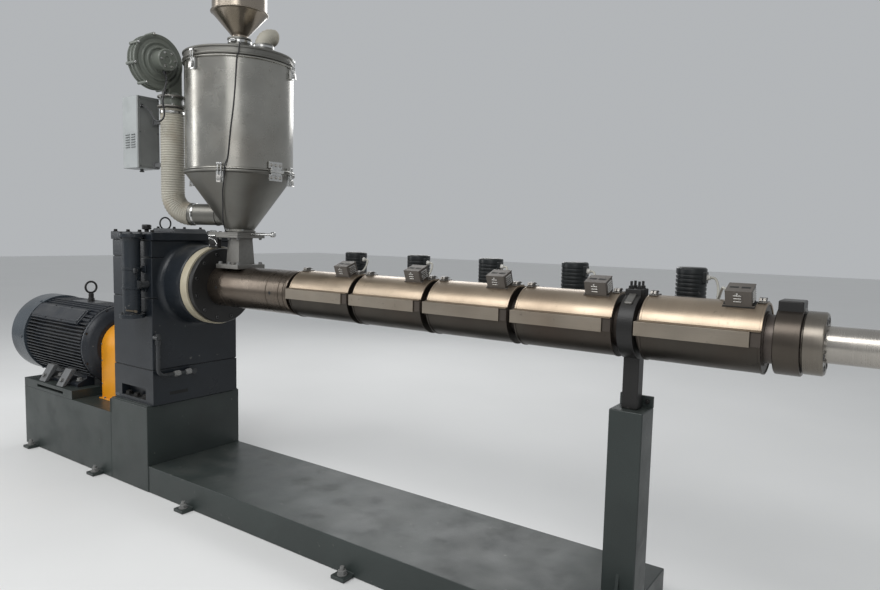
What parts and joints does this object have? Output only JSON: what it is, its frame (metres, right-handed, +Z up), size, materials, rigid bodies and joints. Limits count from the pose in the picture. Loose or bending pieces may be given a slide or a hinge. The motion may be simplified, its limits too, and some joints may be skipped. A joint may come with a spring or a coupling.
{
  "type": "single-screw plastic extruder with hopper dryer",
  "caption": "Single-screw plastic extruder: motor, gearbox and base, heated barrel with cooling blowers on a post, and a hopper dryer with vacuum receiver over the feed throat.",
  "frame": {"origin": "on the floor under the centre of the feed throat, below the screw axis", "axes": "+X along the screw towards the die end, -Y towards the operator side, +Z up"},
  "size_m": [4.928, 0.784, 2.914],
  "materials": {
    "base_paint": "semi-gloss machine enamel, dusty",
    "gearbox_paint": "blue-grey machine enamel",
    "motor_paint": "blue-black motor enamel",
    "guard_paint": "safety yellow-orange enamel",
    "cream_paint": "cream enamel",
    "dark_steel": "black oxide and heat-darkened steel",
    "feed_steel": "turned, straw-brown from heat and oil",
    "bright_steel": "turned steel",
    "cover_steel": "satin stainless sheet",
    "box_grey": "grey hammer enamel",
    "fan_black": "satin black enamel",
    "drum_steel": "satin stainless sheet",
    "cone_steel": "matt stainless sheet",
    "blower_paint": "grey-green enamel",
    "hose_fabric": "coated glass fabric over a wire coil",
    "control_paint": "light grey enamel",
    "fitting_chrome": "zinc and chrome plate",
    "lead_grey": "light grey cable sheath",
    "lead_black": "black cable sheath",
    "receiver_steel": "bright rolled stainless sheet"
  },
  "bodies": {
    "root": {"drive_base": "base_paint", "barrel_plinth": "base_paint", "floor_lugs": "base_paint", "motor_slide": "base_paint", "motor_frame": "motor_paint", "fan_cowl": "motor_paint", "terminal_cover": "motor_paint", "coupling_guard": "guard_paint", "gearbox_housing": "gearbox_paint", "gearbox_cover": "gearbox_paint", "lifting_eyes": "dark_steel", "breather": "fitting_chrome", "oil_cooler": "gearbox_paint", "oil_pipes": "dark_steel", "bearing_housing": "gearbox_paint", "spacer_ring": "cream_paint", "rear_flange": "dark_steel", "feed_section": "feed_steel", "feed_neck": "cone_steel", "slide_gate": "bright_steel", "barrel_tube": "dark_steel", "zone_cover_1": "cover_steel", "zone_cover_2": "cover_steel", "zone_cover_3": "cover_steel", "zone_cover_4": "cover_steel", "zone_cover_5": "cover_steel", "joint_strips": "cover_steel", "fan_leads": "lead_grey", "drum_lead": "lead_black", "air_cable": "lead_black", "cover_latches": "fitting_chrome", "terminal_boxes": "box_grey", "zone_blowers": "fan_black", "blower_motors": "fan_black", "support_clamp": "dark_steel", "support_post": "base_paint", "head_flange": "feed_steel", "clamp_flange": "bright_steel", "melt_pipe": "bright_steel", "dryer_cone": "cone_steel", "dryer_drum": "drum_steel", "dryer_lid": "cone_steel", "drum_clamps": "fitting_chrome", "air_blower": "blower_paint", "air_hose": "hose_fabric", "control_box": "control_paint", "return_elbow": "hose_fabric", "receiver_hopper": "receiver_steel", "receiver_lid": "receiver_steel"}
  },
  "joints": []
}
